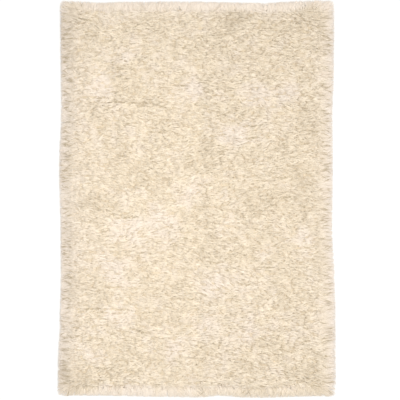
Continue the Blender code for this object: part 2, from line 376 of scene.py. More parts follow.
def wander_of(side, share):
    """Outward stray of a side at shares of its length, eased between its stations."""
    stations = getattr(EDGE_WANDER, side)
    at, outward = np.array(list(stations)), np.array(list(stations.values()))
    index = np.clip(np.searchsorted(at, share, side="right") - 1, 0, len(at) - 2)
    between = ease((share - at[index]) / (at[index + 1] - at[index]))
    return outward[index] + (outward[index + 1] - outward[index]) * between


def half_sizes(across, along):
    """Distances from the slab's centre to its right, left, top and bottom sides: half its size and
    the side's stray, at shares of the width and the length."""
    return (
        SLAB_WIDTH / 2 + wander_of("right", along),
        SLAB_WIDTH / 2 + wander_of("left", 1.0 - along),
        SLAB_LENGTH / 2 + wander_of("top", 1.0 - across),
        SLAB_LENGTH / 2 + wander_of("bottom", across),
    )


def gaps_at(x, y):
    """Distances inward from the nearer long side and from the nearer end, negative outside them."""
    x, y = x - SLAB_CENTRE[0], y - SLAB_CENTRE[1]
    across = np.clip(x / SLAB_WIDTH + 0.5, 0.0, 1.0)
    along = np.clip(y / SLAB_LENGTH + 0.5, 0.0, 1.0)
    right, left, top, bottom = half_sizes(across, along)
    return np.minimum(left + x, right - x), np.minimum(top - y, bottom + y)


def inset_at(x, y):
    """Distance inward from the slab's edge, negative outside it: the lesser of the two gaps, and
    round a corner the corner's radius less the distance to its centre."""
    long_gap, short_gap = gaps_at(x, y)
    corner = CORNER_RADIUS - np.hypot(
        np.maximum(CORNER_RADIUS - long_gap, 0.0), np.maximum(CORNER_RADIUS - short_gap, 0.0)
    )
    in_corner = (long_gap < CORNER_RADIUS) & (short_gap < CORNER_RADIUS)
    return np.where(in_corner, corner, np.minimum(long_gap, short_gap))


class Chart:
    """Values over a square grid that covers the rug and a margin round it."""

    def __init__(self, pitch):
        margin = LOCK_REACH * 2
        self.pitch = pitch
        self.x = np.arange(SOLID_LOW.x - margin, SOLID_HIGH.x + margin, pitch)
        self.y = np.arange(SOLID_LOW.y - margin, SOLID_HIGH.y + margin, pitch)
        self.values = np.zeros((len(self.y), len(self.x)))

    def soften(self, passes):
        """Each pass is a three-by-three mean."""
        rows, columns = self.values.shape
        for _ in range(passes):
            padded = np.pad(self.values, 1, mode="edge")
            parts = [padded[i : i + rows, j : j + columns] for i in range(3) for j in range(3)]
            self.values = sum(parts) / len(parts)

    def at(self, x, y):
        """The value at points, bilinear between the grid's crossings. A point outside the grid is
        drawn in to just inside its last crossing."""
        u = np.clip((x - self.x[0]) / self.pitch, 0, len(self.x) - 1.001)
        v = np.clip((y - self.y[0]) / self.pitch, 0, len(self.y) - 1.001)
        column, row = u.astype(int), v.astype(int)
        near, far = (
            mix(self.values[line, column], self.values[line, column + 1], u - column)
            for line in (row, row + 1)
        )
        return mix(near, far, v - row)


def solid_heights():
    """The pile's height, from a ray cast down on the solid at each crossing. Outside the slab the
    height falls in a straight line from the slab's edge to a little past the rim locks' tips."""
    chart = Chart(HEIGHT_PITCH)
    mesh = SOLID.data
    tree = BVHTree.FromPolygons(
        [vertex.co for vertex in mesh.vertices], [face.vertices for face in mesh.polygons]
    )
    down, above = Vector((0.0, 0.0, -1.0)), SOLID_HIGH.z + 1.0
    hits = [[tree.ray_cast(Vector((x, y, above)), down)[0] for x in chart.x] for y in chart.y]
    found = np.array([[0.0 if hit is None else hit.z for hit in row] for row in hits])
    inset = inset_at(*np.meshgrid(chart.x, chart.y))
    rim = np.interp(inset, [-LOCK_REACH * 1.2, 0.0], [TIP_HEIGHT, EDGE_HEIGHT])
    chart.values = np.where(inset > SOLID_TRUSTED, found, rim)
    chart.soften(HEIGHT_SOFTENING)
    return chart


HEIGHTS = solid_heights()


def patch_fields(x, y):
    """(smoothness, turn) at points: each patch adds its value times a bell curve of the distance
    from its middle, counted in its own widths. Smoothness also has slow noise in it, is greater in
    the bands at both ends, and is held between -1 and 1."""
    smooth, turn = np.zeros_like(x), np.zeros_like(x)
    for patch in PATCHES:
        away = ((x - patch.x) / patch.across) ** 2 + ((y - patch.y) / patch.along) ** 2
        bell = np.exp(-away)
        smooth += patch.smooth * bell
        turn += math.radians(patch.turn) * bell
    smooth += drift(BROAD_RUFFLE, x, y) + drift(SMALL_RUFFLE, x, y)
    smooth += END_SMOOTH * ease((END_BAND - gaps_at(x, y)[1]) / END_FADE + 0.5)
    return np.clip(smooth, -1.0, 1.0), turn


def rim_shade_at(x, y):
    """How much painted rim shade lies on points, for the shade where the pile falls off to the floor:
    it falls off exponentially from each side's value at the outermost tips inward, and the greatest
    counts."""
    long_gap, short_gap = (np.maximum(gap + LOCK_REACH, 0.0) for gap in gaps_at(x, y))
    bottom, right, top, left = (
        haze.most * np.exp(-gap / haze.fade)
        for haze, gap in zip(RIM_SHADES, (short_gap, long_gap, short_gap, long_gap))
    )
    return np.maximum(np.where(x < 0, left, right), np.where(y < 0, bottom, top))


def trimmed(x, y, spare):
    """Points drawn back inside the rug's trimmed outline. How far a point stands out past the slab's
    two nearer sides is counted in the reach of the locks there, and where the sixth root of the sum
    of both sixth powers is over 1, both are divided by it, which leaves a straight edge and a small
    round at a corner. Spare is a strand's limit as a share of the reach."""
    reach_x = (LOCK_REACH + np.where(x > 0, SIDE_REACH.right, SIDE_REACH.left)) * spare
    reach_y = (LOCK_REACH + np.where(y > 0, SIDE_REACH.top, SIDE_REACH.bottom)) * spare
    out_x, out_y = (np.maximum(-gap, 0.0) for gap in gaps_at(x, y))
    size = ((out_x / reach_x) ** TRIM_POWER + (out_y / reach_y) ** TRIM_POWER) ** (1 / TRIM_POWER)
    back = 1.0 - 1.0 / np.maximum(size, 1.0)
    return x - np.sign(x) * out_x * back, y - np.sign(y) * out_y * back


def rim_pull(x, y):
    """(x, y, weight) of the way out of the rug: straight out of the nearest side, turning towards
    the corner where the bands of two sides cross. The weight is 0 in the inner seventh of a band
    and 1 in its outer ninth, and eased between them."""
    long_gap, short_gap = gaps_at(x, y)
    lean_x = np.clip(1.0 - long_gap / SIDE_FAN, 0.0, 1.0)
    lean_y = np.clip(1.0 - short_gap / END_FAN, 0.0, 1.0)
    out_x, out_y = np.sign(x) * lean_x, np.sign(y) * lean_y
    size = np.maximum(np.hypot(out_x, out_y), 1e-6)
    return out_x / size, out_y / size, ease(1.35 * np.maximum(lean_x, lean_y) - 0.2)


def lay_at(x, y):
    """Angle in plan at which the pile lies: away from the centre fold to both sides, turned by two
    sizes of slow noise and by the patches, and drawn outward near the rim."""
    _, turn = patch_fields(x, y)
    away = np.where(x < FOLD_X + drift(FOLD_WANDER, x, y), math.pi, 0.0)
    angle = away + turn + drift(SWEEPING_LAY, x, y) + drift(SWIRLING_LAY, x, y)
    out_x, out_y, weight = rim_pull(x, y)
    return np.arctan2(mix(np.sin(angle), out_y, weight), mix(np.cos(angle), out_x, weight))


def parting_places(chance):
    """(x, y, angle, half length, depth) of all short grooves: chance places in crowds, fewer where
    the pile is smooth, more where it is ruffled and none in the bands at both ends of the rug, then
    the steps of the long partings, each a little off its line."""
    pitch = PARTING_SPACING
    half_x, half_y = PARTING_FIELD
    columns, rows = np.arange(-half_x, half_x, pitch), np.arange(-half_y, half_y, pitch * PARTING_ROWS)
    x, y = np.meshgrid(columns, rows)
    x = (x + chance.uniform(-0.5, 0.5, x.shape) * pitch).ravel()
    y = (y + chance.uniform(-0.5, 0.5, y.shape) * pitch * PARTING_ROWS).ravel()
    smooth, _ = patch_fields(x, y)
    odds = PARTING_ODDS - PARTING_SMOOTHED * smooth - drift(PARTING_CROWDS, x, y)
    kept = (chance.uniform(0, 1, len(x)) < odds) & (inset_at(x, y) > -PARTING_RIM * LOCK_REACH)
    kept &= gaps_at(x, y)[1] > END_BAND * chance.uniform(0.7, 1.2, len(x))
    x, y = x[kept], y[kept]
    angle = lay_at(x, y) + chance.normal(0, PARTING_TURN, len(x))
    half_length = chance.uniform(*PARTING_HALF_LENGTH, len(x))
    places = [(x, y, angle, half_length, chance.uniform(0.3, 1.0, len(x)))]
    for groove in GROOVES:
        run_x, run_y = groove.x_end - groove.x_start, groove.y_end - groove.y_start
        steps = max(2, round(math.hypot(run_x, run_y) / GROOVE_STEP))
        share = np.linspace(0, 1, steps)
        stray_x, stray_y = chance.normal(0, GROOVE_STRAY, (2, steps))
        x = groove.x_start + run_x * share + stray_x
        y = groove.y_start + run_y * share + stray_y
        angle = math.atan2(run_y, run_x) + chance.normal(0, GROOVE_PLAY, steps)
        half_length = np.full(steps, GROOVE_STEP * GROOVE_OVERLAP)
        depth = groove.depth * chance.uniform(0.6, 1.1, steps)
        places.append((x, y, angle, half_length, GROOVE_GAIN * depth))
    return [np.concatenate(values) for values in zip(*places)]


def parted_pile(chance):
    """Short grooves between tufts, from 0 on the tufts to 1 and a little over in the middle of a
    groove. Each groove is a bell curve across and a steeper one along, and where two cross, the
    deeper counts."""
    chart = Chart(PARTING_PITCH)
    x, y, angle, half_length, depth = (values[:, None, None] for values in parting_places(chance))
    half_width = chance.uniform(*PARTING_HALF_WIDTH, x.shape)
    reach = np.arange(-PARTING_CELLS, PARTING_CELLS + 1)
    column = np.round((x - chart.x[0]) / chart.pitch).astype(int) + reach[None, None, :]
    row = np.round((y - chart.y[0]) / chart.pitch).astype(int) + reach[None, :, None]
    away_x, away_y = chart.x[column] - x, chart.y[row] - y
    along = (away_x * np.cos(angle) + away_y * np.sin(angle)) / half_length
    across = (away_y * np.cos(angle) - away_x * np.sin(angle)) / half_width
    value = depth * np.exp(-0.5 * across**2 - 0.5 * along**4)
    row, column = np.broadcast_arrays(row, column)
    np.maximum.at(chart.values, (row, column), value)
    return chart


PARTINGS = parted_pile(np.random.default_rng(SEED))


# --- Meshes ---


# What the wool's material reads at each point: the share along a strand; one value for the painted
# shade of a strand in a parting and of a streak, which stands for the shadow there, and for the
# darker tone that other strands have at random; how smooth the pile is less how far it is parted,
# which the material paints as a pinkish sheen where it is smooth and as shade where it is ruffled
# or parted; and how much painted rim shade lies on it.
FIBRE = ("along", "dull", "smooth", "haze")


def add_mesh(name, points, faces, material, uv=None, fibre=None, ridge=None):
    """An object from whole arrays: points, a list of face arrays, each with its own number of
    corners, a map of the faces' corners, the values of the fibre attributes at each point, and
    which points lie on a ridge. Edges with no end on a ridge are sharp."""
    mesh = bpy.data.meshes.new(name)
    mesh.vertices.add(len(points))
    mesh.vertices.foreach_set("co", points.astype(np.float32).ravel())
    corners = np.concatenate([part.ravel() for part in faces]).astype(np.int32)
    sides = np.concatenate([np.full(len(part), part.shape[1]) for part in faces])
    starts = np.cumsum(sides) - sides
    mesh.loops.add(len(corners))
    mesh.loops.foreach_set("vertex_index", corners)
    mesh.polygons.add(len(starts))
    mesh.polygons.foreach_set("loop_start", starts.astype(np.int32))
    mesh.polygons.foreach_set("use_smooth", np.ones(len(starts), bool))
    mesh.update(calc_edges=True)
    if uv is not None:
        mesh.uv_layers.new(name="OFBake").data.foreach_set("uv", uv.astype(np.float32).ravel())
    if fibre is not None:
        for attribute, values in zip(FIBRE, fibre):
            layer = mesh.attributes.new(attribute, "FLOAT", "POINT")
            layer.data.foreach_set("value", values.astype(np.float32).ravel())
    if ridge is not None:
        ends = np.empty(len(mesh.edges) * 2, np.int32)
        mesh.edges.foreach_get("vertices", ends)
        sharp = ~ridge[ends].reshape(-1, 2).any(axis=1)
        mesh.attributes.new("sharp_edge", "BOOLEAN", "EDGE").data.foreach_set("value", sharp)
    mesh.validate()
    mesh.materials.append(material)
    made = bpy.data.objects.new(name, mesh)
    bpy.context.scene.collection.objects.link(made)
    return made


def grid_faces(rows, columns):
    """Four-sided faces of a grid of points stored row by row, counter-clockwise from above."""
    first = (np.arange(rows - 1)[:, None] * columns + np.arange(columns - 1)[None, :]).ravel()
    return np.stack([first, first + 1, first + columns + 1, first + columns], axis=1)


def rug_grid(rows, columns, grow):
    """Points (x, y) of a grid that fills the slab's outline, moved outward by grow: a square grid
    from -1 to 1 both ways, with each row and column stretched to the wandering sides."""
    u, v = np.meshgrid(np.linspace(-1, 1, columns), np.linspace(-1, 1, rows))
    right, left, top, bottom = (half + grow for half in half_sizes((u + 1) / 2, (v + 1) / 2))
    x = SLAB_CENTRE[0] + np.where(u > 0, u * right, u * left)
    y = SLAB_CENTRE[1] + np.where(v > 0, v * top, v * bottom)
    return x, y


def closed_sheet(x, y, top, bottom):
    """Points and faces of a grid of heights over one flat underside at bottom, joined round the
    edge by a wall of four-sided faces."""
    rows, columns = x.shape
    upper = np.stack([x, y, top], axis=-1).reshape(-1, 3)
    index = np.arange(rows * columns).reshape(rows, columns)
    ring = np.concatenate([index[0, :-1], index[:-1, -1], index[-1, :0:-1], index[:0:-1, 0]])
    lower = upper[ring] * [1, 1, 0] + [0, 0, bottom]
    below = rows * columns + np.arange(len(ring))
    wall = np.stack([below, np.roll(below, -1), np.roll(ring, -1), ring], axis=1)
    quads = np.concatenate([grid_faces(rows, columns), wall])
    return np.concatenate([upper, lower]), [quads, below[None, ::-1]]


# --- Materials ---


def add_node(tree, kind, inputs=None, **settings):
    """Adds a node. Its inputs, by name or number, take values or the outputs that feed them, and
    the settings are its own properties."""
    node = tree.nodes.new(kind)
    for key, value in settings.items():
        setattr(node, key, value)
    for key, value in (inputs or {}).items():
        if isinstance(value, bpy.types.NodeSocket):
            tree.links.new(value, node.inputs[key])
        else:
            node.inputs[key].default_value = value
    return node


def new_tree(name):
    """A new material and its empty node tree."""
    material = bpy.data.materials.new(name)
    material.use_nodes = True
    material.node_tree.nodes.clear()
    return material, material.node_tree


def add_surface(tree, look, relief=None):
    """Ends a material with its surface: the values of the look, and bumps as the relief says."""
    if relief:
        look["Normal"] = add_node(tree, "ShaderNodeBump", relief).outputs["Normal"]
    shader = add_node(tree, "ShaderNodeBsdfPrincipled", look)
    add_node(tree, "ShaderNodeOutputMaterial", {"Surface": shader.outputs[0]})


def spun_wool(name, colours):
    """Undyed wool, spun loosely and left uncut: matte, with fine fibres along each strand. It is
    palest at the tips and yellower at the roots, and its slubs and some strands are darker at
    random. Over that lies painted light: painted shade near the rim, paler and then greyer, on the
    strands in the partings and on the streaks, and a little on ruffled and parted pile; and a
    pinkish painted sheen where the pile is stroked smooth."""
    material, tree = new_tree(name)
    along, dull, smooth, haze = (
        add_node(tree, "ShaderNodeAttribute", attribute_name=attribute).outputs["Fac"]
        for attribute in FIBRE
    )
    # Slubs, where the yarn is spun unevenly, are 4 mm long.
    place = add_node(tree, "ShaderNodeTexCoord").outputs["Object"]
    slubs = add_node(tree, "ShaderNodeTexNoise", {"Vector": place, "Scale": 1 / 0.004, "Detail": 1.0})
    colour = colours.root
    # Each layer of colour lies over those before it. It grows from nothing, where its source is at
    # start, to its greatest share, most, where the source is at end.
    for source, start, end, most, over in (
        (along, 0.00, 0.22, 1.0, colours.middle),
        (along, 0.35, 1.00, 1.0, colours.tip),
        # Painted rim shade: paler and less yellow, then greyer, towards the outermost tips.
        (haze, 0.00, 0.50, 0.7, colours.pale),
        (haze, 0.50, 1.00, 1.0, colours.haze),
        # Painted shade of strands in partings and of streaks, and the random darker tone of the others.
        (dull, 0.00, 1.00, 1.0, colours.shade),
        # Slubs: the wool's own darker tone, at random.
        (slubs.outputs["Fac"], 0.52, 0.66, 0.4, colours.slub_tone_and_shade),
        # Painted shade where the pile is ruffled or parted.
        (smooth, 0.00, -1.00, 0.3, colours.slub_tone_and_shade),
        # Painted sheen, pinkish, where the pile is stroked smooth.
        (smooth, 0.00, 0.90, 0.8, colours.stroked_sheen),
    ):
        limits = {"Value": source, "From Min": start, "From Max": end, "To Max": most}
        share = add_node(tree, "ShaderNodeMapRange", limits)
        layers = {0: share.outputs[0], 6: colour, 7: over}
        colour = add_node(tree, "ShaderNodeMix", layers, data_type="RGBA").outputs[2]
    # A wool fibre is 0.03 mm thick, too fine to show, so the fuzz is drawn 1.6 mm across.
    size = {"Vector": place, "Scale": 1 / 0.0016, "Detail": 2.0}
    fuzz = add_node(tree, "ShaderNodeTexNoise", size)
    relief = {"Strength": 0.35, "Distance": 0.0006, "Height": fuzz.outputs["Fac"]}
    look = {
        "Base Color": colour,
        "Roughness": 0.92,
        "Specular IOR Level": 0.25,
        "Sheen Weight": 0.15,
        "Sheen Roughness": 0.6,
    }
    add_surface(tree, look, relief)
    return material


def felted_wool(name, colours):
    """Wool matted by wear, deep between the locks: yellower, uneven and fully matte. Its tufts are
    10 mm across."""
    material, tree = new_tree(name)
    place = add_node(tree, "ShaderNodeTexCoord")
    size = {"Vector": place.outputs["Object"], "Scale": 1 / 0.010, "Detail": 3.0}
    tufts = add_node(tree, "ShaderNodeTexNoise", size).outputs["Fac"]
    layers = {0: tufts, 6: colours.root, 7: colours.middle}
    colour = add_node(tree, "ShaderNodeMix", layers, data_type="RGBA").outputs[2]
    look = {"Base Color": colour, "Roughness": 0.97, "Specular IOR Level": 0.15}
    add_surface(tree, look, {"Strength": 0.6, "Distance": 0.003, "Height": tufts})
    return material


def ground_weave_wool(name, colours):
    """Plain weave of coarse undyed wool yarn, 3 mm a thread: two crossed waves raise the yarns. A
    wave is one thread over and one under, 6 mm, and its period is pi / 10 over the scale."""
    material, tree = new_tree(name)
    place = add_node(tree, "ShaderNodeTexCoord").outputs["Object"]
    size = {"Vector": place, "Scale": math.pi / 10 / 0.006, "Distortion": 0.6, "Detail Scale": 4.0}
    warp = add_node(tree, "ShaderNodeTexWave", size, bands_direction="X").outputs["Fac"]
    weft = add_node(tree, "ShaderNodeTexWave", size, bands_direction="Y").outputs["Fac"]
    height = add_node(tree, "ShaderNodeMath", {0: warp, 1: weft}, operation="MULTIPLY").outputs[0]
    layers = {0: height, 6: colours.root, 7: colours.weave}
    colour = add_node(tree, "ShaderNodeMix", layers, data_type="RGBA").outputs[2]
    look = {"Base Color": colour, "Roughness": 0.95, "Specular IOR Level": 0.2}
    add_surface(tree, look, {"Strength": 0.7, "Distance": 0.0012, "Height": height})
    return material


def painted_floor(name, colours):
    """Smooth floor in matte white paint, the same all over."""
    material, tree = new_tree(name)
    add_surface(tree, {"Base Color": colours.floor, "Roughness": 0.8, "Specular IOR Level": 0.1})
    return material


# --- Locks ---

CORNERS = 3  # round a strand
SEGMENTS = 2  # along a strand
WIDTH_AT = ([0.0, 0.25, 0.65, 0.9, 1.0], [0.65, 1.0, 0.9, 0.5, 0.0])  # share along, share of width

# The kinds of lock: strands in a clump, width of a strand and its thickness as a share of that, how
# far the roots spread to each side, at what share of the pile's height they start, how far under
# its top they lie, and what share of the strands that lie across the rug are streaks: dark strands
# on top, whose painted shade stands for the shadow lines of the pile.
Kind = namedtuple("Kind", "strands width thick spread start sunk streaks")
UNDER = Kind(strands=4, width=0.0090, thick=0.35, spread=0.0180, start=0.95, sunk=0.0026, streaks=0.0)
TOP = Kind(strands=8, width=0.0034, thick=0.60, spread=0.0110, start=0.93, sunk=0.0012, streaks=0.0)
RIM = Kind(strands=6, width=0.0042, thick=0.50, spread=0.0085, start=0.93, sunk=0.0010, streaks=0.06)
BANDS = 4  # pieces along the rug that share the top strands, each under 200,000 triangles

# The wide strands underneath against the top ones: spacing and length of their clumps, spacing of
# those round the rim, and by how much these are shorter.
UNDER_SPACING = 1.6
UNDER_LENGTH = 1.4
UNDER_RIM_SPACING = 1.8
UNDER_RIM_SHORTER = 0.006

# Clumps of the inner pile stand on a staggered grid.
ROW_STEP = 0.866  # between its rows, in spacings
PILE_SCATTER = 0.45  # how far a clump may stray from its crossing, in spacings
RIM_SCATTER = 0.4  # and one round the rim
PILE_INSET = 0.014  # from the slab's edge

# How the strands of a clump lie.
LAY_SCATTER = 0.20  # round the clump's lay
CLUMP_BEND = 0.10  # of a whole clump from root to tip
STRAND_BEND = 0.06  # and of each strand besides
WAVE = (0.02, 0.12)  # how far a line swings out of its direction
WAVE_CYCLES = (0.6, 1.2)  # along a strand
LENGTH_PLAY = (0.84, 1.08)
START_PLAY = 0.25  # how far apart the strands of a clump start, in clump lengths
LOCK_ARCH = 0.0022  # how far a strand rises in its middle
LOCK_SINK = 0.0015  # how far under the pile's top its tip lies
LAYER_SPREAD = 0.0012  # how unevenly high the strands of a clump lie
LOWEST_LINE = 0.0045  # the least height of a strand's line
LOWEST_POINT = 0.0008  # and of its underside

# Strands painted darker: those in a parting and the streaks carry painted shade for the shadow
# there, and the rest vary in tone from one to the next.
SHADED_STRAND_LIFT = 0.0010  # how far one in a parting lies above the pile round it
STREAK_LIFT = 0.003
PLAIN_DULLNESS = (-0.2, 0.42)

# Clumps as whole arrays: the place, the angle at which a clump lies, its length, how far behind its
# place it starts, how far it lies above the pile, and how far its strands draw in, as a share.
Clumps = namedtuple("Clumps", "x y lay length back lift pinch")


def pile_clumps(pitch, length, chance):
    """Clumps over the inside of the rug: a staggered grid, its points moved by chance. Where the
    pile isn't smooth, they lie more unevenly and draw in more."""
    rows = int(SLAB_LENGTH / (pitch * ROW_STEP)) + 2
    columns = int(SLAB_WIDTH / pitch) + 2
    row, column = np.meshgrid(np.arange(rows), np.arange(columns), indexing="ij")
    x = (column - columns / 2 + 0.5 * (row % 2)) * pitch
    y = (row - rows / 2) * pitch * ROW_STEP
    x = (x + chance.uniform(-PILE_SCATTER, PILE_SCATTER, x.shape) * pitch).ravel()
    y = (y + chance.uniform(-PILE_SCATTER, PILE_SCATTER, y.shape) * pitch).ravel()
    inside = inset_at(x, y) > PILE_INSET
    x, y = x[inside], y[inside]
    smooth, _ = patch_fields(x, y)
    rough = 1 - np.clip(smooth, 0, 1)
    lay = lay_at(x, y) + chance.normal(0, 1, len(x)) * (0.05 + 0.10 * rough)
    length = length * chance.uniform(0.82, 1.15, len(x))
    lift = chance.normal(0, 1, len(x)) * (0.0002 + 0.0003 * rough)
    return Clumps(x, y, lay, length, length * 0.5, lift, 0.30 + 0.30 * rough)


def rim_clumps(sparse, shorter, chance):
    """Clumps along the slab's edge, in rows from the edge inward, that lie outward and lean a
    little to either side. The two ends have only the outer rows. Their tips stand as far out as the
    row says, less shorter, farther on the right and at the bottom, and farther round the corners,
    by up to 0.7 of the rim locks' reach. Sparse multiplies their spacing."""
    pitch = RIM_SPACING * sparse
    x, y, reach = [], [], []
    for row in RIM_ROWS:
        half_x, half_y = SLAB_WIDTH / 2 - row.inset, SLAB_LENGTH / 2 - row.inset
        across = np.arange(-half_x, half_x, pitch)
        along = np.arange(-half_y, half_y, pitch)
        runs = {
            "bottom": np.stack([across, np.full_like(across, -half_y)], 1),
            "right": np.stack([np.full_like(along, half_x), along], 1),
            "top": np.stack([-across, np.full_like(across, half_y)], 1),
            "left": np.stack([np.full_like(along, -half_x), -along], 1),
        }
        if row.inset >= END_FAN:
            del runs["bottom"], runs["top"]
        roots = np.concatenate(list(runs.values()))
        roots = roots + chance.uniform(-RIM_SCATTER, RIM_SCATTER, roots.shape) * pitch
        farther = [np.full(len(run), getattr(SIDE_REACH, side)) for side, run in runs.items()]
        x.append(roots[:, 0] + SLAB_CENTRE[0])
        y.append(roots[:, 1] + SLAB_CENTRE[1])
        reach.append(row.out - shorter + np.concatenate(farther))
    x, y, reach = np.concatenate(x), np.concatenate(y), np.concatenate(reach)
    out_x, out_y, _ = rim_pull(x, y)
    spread = SIDE_LEAN + (END_LEAN - SIDE_LEAN) * out_y**8
    lean = chance.normal(0, spread, len(x)).clip(-MOST_LEAN, MOST_LEAN)
    lay = np.arctan2(out_y, out_x) + lean
    corner = np.minimum(np.abs(out_x), np.abs(out_y))
    ragged = 0.002 + 0.003 * np.abs(out_x)
    reach = reach + LOCK_REACH * corner + chance.uniform(-1, 1, len(x)) * ragged
    length = (inset_at(x, y) + reach) * RIM_SLACK / np.cos(lean).clip(0.5, 1)
    lift = chance.normal(0, RIM_UNEVEN, len(x))
    return Clumps(x, y, lay, length, np.zeros_like(x), lift, np.full_like(x, RIM_PINCH))


def strand_lines(clumps, kind, chance):
    """Centre lines of all strands, (strand, point, xyz), and the fibre attributes, (strand, point,
    attribute). A clump's line turns slowly and waves from side to side, and its strands start
    beside it, draw in towards its tip and are drawn back inside the trimmed outline. Heights follow
    the pile's top, from a little lower at the root. At a parting a strand moves aside and down, or,
    where its middle is well inside the parting, stays up and carries painted shade for the shadow
    in the parting. Streaks are painted shadow lines: they lie on top, carry as much painted shade,
    and are the likelier the straighter their clump lies across the rug. The other strands are darker
    in tone at random."""
    count, share = len(clumps.x), np.linspace(0, 1, SEGMENTS + 1)
    shape = (count, kind.strands, 1)

    def each(values):
        """The values of the clumps, shaped to go with all their strands and points."""
        return np.asarray(values, float).reshape(-1, 1, 1)

    turn = chance.normal(0, CLUMP_BEND, (count, 1, 1)) + chance.normal(0, STRAND_BEND, shape)
    wave = chance.uniform(*WAVE, (count, 1, 1))
    cycles = chance.uniform(*WAVE_CYCLES, (count, 1, 1))
    phase = chance.uniform(0, 2 * math.pi, (count, 1, 1)) + chance.normal(0, 0.5, shape)
    angle = each(clumps.lay) + chance.normal(0, LAY_SCATTER, shape) + turn * (share - 0.5)
    angle = angle + wave * np.sin(2 * math.pi * cycles * share + phase)
    steps = each(clumps.length) * chance.uniform(*LENGTH_PLAY, shape) / SEGMENTS
    run_x = np.cumsum(np.cos(angle) * steps, axis=2) - np.cos(angle) * steps
    run_y = np.cumsum(np.sin(angle) * steps, axis=2) - np.sin(angle) * steps
    aside = chance.uniform(-1, 1, shape) * kind.spread * (1 - each(clumps.pinch) * share**1.2)
    behind = chance.uniform(-0.5, 0.5, shape) * each(clumps.length) * START_PLAY * (1 - 0.4 * share)
    behind = behind + each(clumps.back)
    side_x, side_y = -np.sin(each(clumps.lay)), np.cos(each(clumps.lay))
    x = each(clumps.x) + run_x + side_x * aside - side_y * behind
    y = each(clumps.y) + run_y + side_y * aside + side_x * behind
    near = PARTINGS.pitch
    x = x - PUSH_ASIDE * (PARTINGS.at(x + near, y) - PARTINGS.at(x - near, y)) / near
    y = y - PUSH_ASIDE * (PARTINGS.at(x, y + near) - PARTINGS.at(x, y - near)) / near
    x, y = trimmed(x, y, chance.uniform(*TRIM_SPARE, shape))
    parted = PARTINGS.at(x, y)
    middle = SEGMENTS // 2
    # A strand whose middle lies well inside a parting carries painted shade for the shadow there, and
    # so does a streak. The other strands get a random tone.
    parting_shade = ease((parted[:, :, middle : middle + 1] - chance.uniform(0.2, 0.5, shape)) / 0.1)
    streaked = chance.uniform(0, 1, shape) < kind.streaks * np.cos(each(clumps.lay)) ** 2
    streak = np.where(streaked, 1.0, 0.0)
    dull = np.maximum(np.maximum(parting_shade, streak), chance.uniform(*PLAIN_DULLNESS, shape))
    layer = each(clumps.lift) + chance.normal(0, LAYER_SPREAD, shape)
    layer = layer - PARTING_DEPTH * parted * (1 - dull) + SHADED_STRAND_LIFT * dull + STREAK_LIFT * streak
    rise = kind.start + (1 - kind.start) * ease(share / 0.35)
    arch = LOCK_ARCH * np.sin(math.pi * np.clip(share * 1.1, 0, 1)) - LOCK_SINK - kind.sunk
    z = np.maximum((HEIGHTS.at(x, y) + layer) * rise + arch, LOWEST_LINE)
    lines = np.stack([x, y, z], axis=-1).reshape(-1, SEGMENTS + 1, 3)
    # The painted shade and tone are greatest at a strand's middle and fade towards both ends.
    painted_shade_and_tone_mid = dull * (1 - np.abs(2 * share - 1))
    smooth, _ = patch_fields(x, y)
    # The smoothness less the parting drives the material's painted sheen where it is above 0 and its
    # painted shade where it is below. The rim's painted shade goes along with it.
    fields = np.broadcast_arrays(share, painted_shade_and_tone_mid, smooth - parted, rim_shade_at(x, y))
    return lines, np.stack(fields, axis=-1).reshape(*lines.shape[:2], len(FIBRE))


def strand_faces(count):
    """Faces of strands whose points are stored ring by ring and end in the tip: four-sided faces
    between the rings, and three-sided ones at the tip and over the root."""
    stride = CORNERS * SEGMENTS + 1
    strand = (np.arange(count) * stride)[:, None, None]
    ring = (np.arange(SEGMENTS - 1) * CORNERS)[None, :, None]
    corner, after = np.arange(CORNERS), (np.arange(CORNERS) + 1) % CORNERS
    low, high = strand + ring, strand + ring + CORNERS
    quads = np.stack([low + corner, low + after, high + after, high + corner], axis=-1)
    last, tip = strand[:, :, 0] + stride - 1 - CORNERS, strand[:, :, 0] + stride - 1
    ends = np.stack([last + corner, last + after, tip + 0 * corner], axis=-1)
    roots = strand[:, 0] + np.array([0, 2, 1])
    return [quads.reshape(-1, 4), np.concatenate([ends.reshape(-1, 3), roots])]


def strand_map(count):
    """A map for baking: each strand has a cell of its own, with its length up the cell and its
    sides across it, in the order of strand_faces. Cells are three times as high as they are wide,
    with an even margin."""
    margin = 0.08
    columns = math.ceil(math.sqrt(count * 3))
    rows = math.ceil(count / columns)
    cell = np.stack([np.arange(count) % columns, np.arange(count) // columns], axis=-1)
    size = (1 - 2 * margin) / np.array([columns, rows])
    low = (cell + margin) / [columns, rows]
    ring, side = np.meshgrid(np.arange(SEGMENTS), np.arange(CORNERS), indexing="ij")
    left, right = side / CORNERS, (side + 1) / CORNERS
    near, far = ring / SEGMENTS, (ring + 1) / SEGMENTS
    body = np.stack([left, near, right, near, right, far, left, far], axis=-1)[:-1].reshape(-1, 2)
    middle = (left + right) / 2
    ends = np.stack([left, near, right, near, middle, far], axis=-1)[-1].reshape(-1, 2)
    roots = np.array([[0.0, 0.0], [0.5, 0.0], [0.25, 0.02]])
    return np.concatenate([(low[:, None] + part * size).reshape(-1, 2) for part in (body, ends, roots)])


